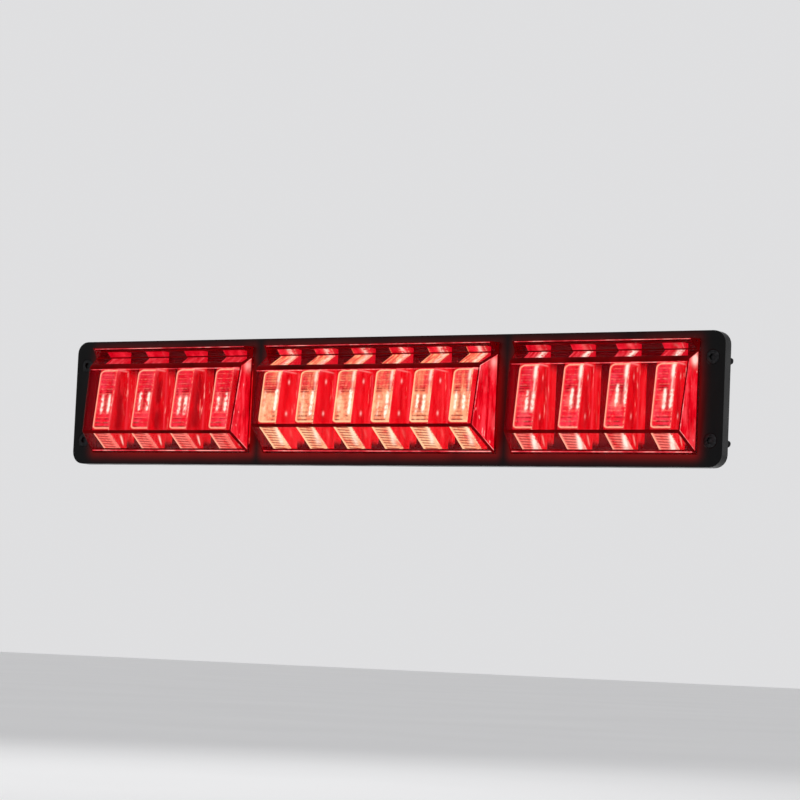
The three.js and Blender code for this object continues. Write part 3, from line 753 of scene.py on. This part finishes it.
def chamfered_slab(bm, low, high, chamfer):
    """A closed plate lying across Y with all its edges chamfered, in millimetres."""
    def ring(y, inset):
        x0, x1 = low[0] + inset, high[0] - inset
        z0, z1 = low[2] + inset, high[2] - inset
        points = [(x0 + chamfer, z0), (x1 - chamfer, z0), (x1, z0 + chamfer), (x1, z1 - chamfer),
                  (x1 - chamfer, z1), (x0 + chamfer, z1), (x0, z1 - chamfer), (x0, z0 + chamfer)]
        return [bm.verts.new((x * MM, y * MM, z * MM)) for x, z in points]

    rings = [ring(low[1], chamfer), ring(low[1] + chamfer, 0.0),
             ring(high[1] - chamfer, 0.0), ring(high[1], chamfer)]
    for first, second in zip(rings, rings[1:]):
        skirt(bm, first, second, FLANK)
    for end in (rings[0], rings[-1]):
        bm.faces.new(end).material_index = FLANK


def light_guide(name, section):
    """A light guide: a fin in front of each of its LEDs, on one plate."""
    node = f"light_guide_{name}"
    bm = bmesh.new()
    layers = {key: bm.verts.layers.float.new(key) for key in LAYERS}
    for led in section["leds"]:
        low, high = box_mm(f"led_{led:02d}")
        look = {**SECTION_LOOKS[name], "seed": (led * 0.618) % 1.0}
        if led in LATE_CENTRE_LEDS:
            look.update(LATE_CENTRE_LOOK)
        fin_geometry(bm, layers, (low[0] + high[0]) / 2, FACETS[section["facets"]], look)
    bmesh.ops.remove_doubles(bm, verts=bm.verts, dist=1e-7)
    low, high = box_mm(node)
    chamfered_slab(bm, (low[0], PLATE_FRONT, -PLATE_REACH), (high[0], PLATE_BACK, PLATE_REACH), PLATE_CHAMFER)
    bmesh.ops.recalc_face_normals(bm, faces=bm.faces)
    piece = add_object(f"fins_{name}", bm, [f"fin_{section['facets']}", "fin_side"], 35.0)
    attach(piece, "root")
    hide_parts(node)


# ---------------------------------------------------------------- the lens

LENS_LOOKS = ["lens_red", "lens_edge", "lens_end", "lens_inner", "lens_glint"]
RIDGE, END, INNER, GLINT = 1, 2, 3, 4
RIDGE_WIDTH = 2.0
# how much of RIDGE_WIDTH each ridge is rounded by
RIDGE_SHARES = {"top": 1.0, "fold": 0.32, "lip": 0.15, "foot": 0.58, "base": 0.08,
                "end": 0.5, "end_front": 0.16}
RIDGE_PLANE = -12.0
FLATTEST_RIDGE = math.radians(8.0)
LONG_EDGE = 60.0
TALL_EDGE = 20.0
BORDER_INSET = 0.75
FIELD_INSET = 1.45
OUTER_DEPTH = 0.12
INNER_DEPTH = 0.5


def end_outline(facets, inset):
    """The outline of a window's end wall in (y, z), moved in from its ridges."""
    (bottom_y, bottom_z), (top_y, top_z) = facets["front_bottom"], facets["front_top"]
    back = WINDOW_STEP + inset
    bottom_slope = (WINDOW_BOTTOM - bottom_z) / (WINDOW_STEP - bottom_y)
    top_slope = (FOLD_HEIGHT - top_z) / (WINDOW_STEP - top_y)
    return inset_outline([
        (back, WINDOW_BOTTOM + inset * bottom_slope),
        (bottom_y, bottom_z),
        (top_y, top_z),
        (back, FOLD_HEIGHT + inset * top_slope),
    ], inset)


def end_plate(bm, facets, edge_x, side):
    """A plate inside an end wall: outwards a painted glow with a painted bright line round it, inside the
    painted light and shade of the wall's inner side.
    """
    def ring(inset, depth):
        points = end_outline(facets, inset)
        return [bm.verts.new((
            (edge_x - side * ((WINDOW_STEP - y) * END_DRAFT + depth)) * MM, y * MM, z * MM))
            for y, z in points]

    border, field = ring(BORDER_INSET, OUTER_DEPTH), ring(FIELD_INSET, OUTER_DEPTH)
    inside = ring(BORDER_INSET, INNER_DEPTH)
    skirt(bm, border, field, GLINT)
    bm.faces.new(field).material_index = END
    skirt(bm, border, inside, INNER)
    bm.faces.new(inside).material_index = INNER


def light_line(bm, x0, x1, y, z, width, height):
    """A thin bar inside the lens's wall, which shows as a painted bright line along an edge."""
    verts = block(bm, (x0, y, z), (x1, y + width, z + height))
    for face in {face for v in verts for face in v.link_faces}:
        face.material_index = GLINT


def ridge_name(edge):
    """Which ridge of a window an edge of the lens is, or None for an edge that stays sharp."""
    y = max(v.co.y for v in edge.verts)
    if len(edge.link_faces) != 2 or y > RIDGE_PLANE * MM or edge.calc_face_angle() < FLATTEST_RIDGE:
        return None
    if all(face.normal.y > 0.05 for face in edge.link_faces):
        return None
    first, second = (v.co for v in edge.verts)
    z = first.z / MM
    if abs(first.x - second.x) <= LONG_EDGE * MM:
        return "end_front" if abs(first.z - second.z) > TALL_EDGE * MM else "end"
    if z <= 0:
        return "foot" if z > WINDOW_BOTTOM + 1 else "base"
    if not edge.is_convex:
        return "fold"
    return "top" if z < WINDOW_TOP - 1 else "lip"


def lens():
    """The lens with rounded ridges painted dark, end walls with a painted glow and painted light lines along
    its edges.
    """
    bm = clean_copy("outer_lens")
    weights = bm.edges.layers.float.new("bevel_weight_edge")
    for edge in bm.edges:
        edge[weights] = RIDGE_SHARES.get(ridge_name(edge), 0.0)
    for centre, half, key in WINDOWS:
        for side in (-1, 1):
            end_plate(bm, FACETS[key], centre + side * half, side)
        top_y, top_z = FACETS[key]["front_top"]
        along_base = (1.0, -13.2, -28.45, 0.55, 0.5)
        under_top = (3.0, top_y - 0.05, top_z - 2.6, 0.45, 0.38)
        along_lip = (2.5, -17.6, 30.75, 0.4, 0.3)
        for short, y, z, width, height in (along_base, under_top, along_lip):
            light_line(bm, centre - half + short, centre + half - short, y, z, width, height)
    bmesh.ops.recalc_face_normals(bm, faces=bm.faces)
    piece = add_object("lens", bm, LENS_LOOKS, 25.0)
    rounding = piece.modifiers.new("rounded_ridges", "BEVEL")
    rounding.width = RIDGE_WIDTH * MM
    rounding.segments = 3
    rounding.limit_method = "WEIGHT"
    rounding.use_clamp_overlap = False
    rounding.material = RIDGE
    rounding.harden_normals = True
    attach(piece, "root")
    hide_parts("outer_lens")


# ---------------------------------------------------------------- small turned pieces

def turned_piece(name, node, slot, centre, rows, segments):
    """A closed round piece about an axis along Y. Each row is (y, radius at an angle)."""
    bm = bmesh.new()
    grid = []
    for y, radius_at in rows:
        ring = []
        for k in range(segments):
            angle = 2 * math.pi * k / segments
            radius = radius_at(angle)
            ring.append(bm.verts.new((
                (centre[0] + radius * math.cos(angle)) * MM, y * MM,
                (centre[1] + radius * math.sin(angle)) * MM)))
        grid.append(ring)
    for lower, upper in zip(grid, grid[1:]):
        skirt(bm, lower, upper)
    bm.faces.new(grid[0])
    bm.faces.new(grid[-1][::-1])
    bmesh.ops.recalc_face_normals(bm, faces=bm.faces)
    piece = add_object(name, bm, [slot], 38.0)
    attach(piece, "root")
    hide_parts(node)


def round_at(radius):
    """The same radius at every angle."""
    return lambda angle: radius


def hexagon_at(apothem):
    """The radius of a hexagon at an angle, from half the distance across its flats."""
    return lambda angle: apothem / math.cos((angle % (math.pi / 3)) - math.pi / 6)


def thread_at(y, core, crest, pitch):
    """The radius of a screw thread at a height and an angle."""
    def radius(angle):
        phase = (y / pitch - angle / (2 * math.pi)) % 1.0
        return core + (crest - core) * max(0.0, 1.0 - abs(phase - 0.5) * 3.2)
    return radius


THREAD_CORE = 1.55
THREAD_CREST = 1.98
THREAD_PITCH = 1.4
THREAD_STEP = 0.23


def mounting_screw(index):
    """A countersunk screw: its hexagon recess, head, shank, thread and tip, from the front backwards."""
    node = f"mounting_screw_{index}"
    low, high = box_mm(node)
    centre = ((low[0] + high[0]) / 2, (low[2] + high[2]) / 2)
    front, back = low[1], high[1]
    rows = [(front + 1.4, hexagon_at(0.2)), (front + 1.35, hexagon_at(1.55)),
            (front + 0.15, hexagon_at(1.6)), (front, hexagon_at(1.72)),
            (front, round_at(3.45)), (front + 0.12, round_at(3.7)), (front + 0.3, round_at(3.72)),
            (front + 1.9, round_at(1.95)), (front + 6.0, round_at(1.95)), (front + 6.4, round_at(1.6))]
    y = front + 6.6
    while y < back - 1.9:
        rows.append((y, thread_at(y, THREAD_CORE, THREAD_CREST, THREAD_PITCH)))
        y += THREAD_STEP
    rows += [(back - 1.8, round_at(1.5)), (back - 0.05, round_at(0.75)), (back, round_at(0.6))]
    turned_piece(f"screw_{index}", node, "screw_black", centre, rows, 24)


def vent():
    """A push-in vent cap with a notched rim and a raised ring on its face."""
    low, high = box_mm("vent_cap")
    centre = ((low[0] + high[0]) / 2, (low[2] + high[2]) / 2)
    radius = (high[0] - low[0]) / 2
    stem, back = low[1], high[1]
    seat = back - 2.6

    def notched(angle):
        return radius - 0.05 - (0.45 if math.cos(12 * angle) < -0.2 else 0.0)

    rows = [(stem, round_at(1.35)), (stem, round_at(2.3)), (stem + 0.5, round_at(2.58)),
            (seat, round_at(2.58)), (seat, round_at(radius - 0.4)), (seat + 0.15, round_at(radius - 0.05)),
            (seat + 0.5, round_at(radius - 0.05)), (seat + 0.55, notched), (seat + 1.5, notched),
            (seat + 1.55, round_at(radius - 0.6)),
            (back - 0.55, round_at(radius - 1.1)), (back - 0.3, round_at(radius - 1.5)),
            (back - 0.3, round_at(3.5)), (back, round_at(3.3)), (back, round_at(2.7)),
            (back - 0.5, round_at(2.4)), (back - 0.5, round_at(0.8)),
            (back - 0.2, round_at(0.6)), (back - 0.2, round_at(0.1))]
    turned_piece("vent", "vent_cap", "housing_black", centre, rows, 96)


# ---------------------------------------------------------------- assembly

lens()
for section_name, section_facts in SECTIONS.items():
    light_guide(section_name, section_facts)

refined("front_bezel", "bezel", "bezel_black", 0.7, 3)
refined("rear_housing", "housing", "housing_black", 0.4)
refined("foam_gasket", "gasket", "foam_black", 0.3)
refined("inlet_socket", "socket", "housing_black", 0.25)
refined("socket_pin_1", "pin_1", "pin_tin", 0.15)
refined("socket_pin_2", "pin_2", "pin_tin", 0.15)
refined("socket_seal", "socket_gasket", "rubber_black", 0.3)
vent()
for screw_index in range(1, 5):
    mounting_screw(screw_index)

slots = {part["node"]: part["material_slot"] for part in frame["record"]["subparts"]}
for node_name, node_object in nodes.items():
    node_object.data.materials.clear()
    key = slots[node_name]
    node_object.data.materials.append(MATERIALS["fin_side" if key == "guide_clear" else key])


# ---------------------------------------------------------------- stage, light and camera

CAMERA = {"azimuth": 30.1, "elevation": -5.0, "roll": 2.5, "distance": 1627.0, "focal": 132.2}
TARGET = Vector((13.1, -10.5, 0.4)) * MM


def place_camera():
    """A camera at the photograph's viewing angle, rolled as the photograph is."""
    azimuth = math.radians(CAMERA["azimuth"])
    elevation = math.radians(CAMERA["elevation"])
    roll = math.radians(CAMERA["roll"])
    back = Vector((math.sin(azimuth) * math.cos(elevation),
                   -math.cos(azimuth) * math.cos(elevation), math.sin(elevation)))
    right = Vector((math.cos(azimuth), math.sin(azimuth), 0.0))
    up = back.cross(right)
    rolled_right = right * math.cos(roll) + up * math.sin(roll)
    rolled_up = up * math.cos(roll) - right * math.sin(roll)
    data = bpy.data.cameras.new("camera")
    data.lens = CAMERA["focal"]
    data.sensor_width = 36.0
    camera = bpy.data.objects.new("camera", data)
    scene.collection.objects.link(camera)
    axes = Matrix((rolled_right, rolled_up, back)).transposed().to_4x4()
    camera.matrix_world = Matrix.Translation(TARGET + back * CAMERA["distance"] * MM) @ axes
    scene.camera = camera


def add_floor(height):
    """A wide pale floor below the light."""
    bm = bmesh.new()
    bmesh.ops.create_grid(bm, x_segments=8, y_segments=8, size=30.0)
    mesh = bpy.data.meshes.new("floor")
    bm.to_mesh(mesh)
    bm.free()
    floor = bpy.data.objects.new("floor", mesh)
    floor.location.z = height
    scene.collection.objects.link(floor)
    s = Shader("floor_pale")
    s.set("Base Color", s.ramp(s.noise(1.5, 2.0), (0.3, (0.88, 0.88, 0.88)), (0.7, (0.91, 0.91, 0.91))))
    s.set("Roughness", 0.8)
    mesh.materials.append(s.material)


def add_area_light(name, position, target, size, power):
    """A rectangular lamp that faces a target."""
    data = bpy.data.lights.new(name, "AREA")
    data.shape = "RECTANGLE"
    data.size, data.size_y = size
    data.energy = power
    lamp = bpy.data.objects.new(name, data)
    lamp.location = position
    lamp.rotation_euler = (Vector(target) - Vector(position)).to_track_quat("-Z", "Y").to_euler()
    scene.collection.objects.link(lamp)


def add_sun(name, direction, strength):
    """Broad soft light from one side, even over the whole floor."""
    data = bpy.data.lights.new(name, "SUN")
    data.energy = strength
    data.angle = math.radians(40.0)
    lamp = bpy.data.objects.new(name, data)
    lamp.rotation_euler = (-Vector(direction)).to_track_quat("-Z", "Y").to_euler()
    scene.collection.objects.link(lamp)


def add_world():
    """A pale band round the horizon under a darker ceiling."""
    world = bpy.data.worlds.new("studio")
    world.use_nodes = True
    tree = world.node_tree
    background = tree.nodes["Background"]
    coordinates = tree.nodes.new("ShaderNodeTexCoord")
    split = tree.nodes.new("ShaderNodeSeparateXYZ")
    ramp = tree.nodes.new("ShaderNodeValToRGB")
    tree.links.new(coordinates.outputs["Generated"], split.inputs[0])
    tree.links.new(split.outputs["Z"], ramp.inputs["Fac"])
    tree.links.new(ramp.outputs["Color"], background.inputs["Color"])
    low, high = ramp.color_ramp.elements
    low.position, high.position = 0.24, 0.36
    low.color = (0.74, 0.74, 0.75, 1.0)
    high.color = (0.40, 0.40, 0.41, 1.0)
    scene.world = world


place_camera()
add_floor(-0.30)
add_world()
add_sun("sun", (0.4, -0.7, 1.0), 0.75)
add_area_light("fill", (-1.6, 1.8, 1.4), (0.0, 0.0, 0.0), (1.6, 1.2), 16.0)
scene.view_settings.view_transform = "Standard"
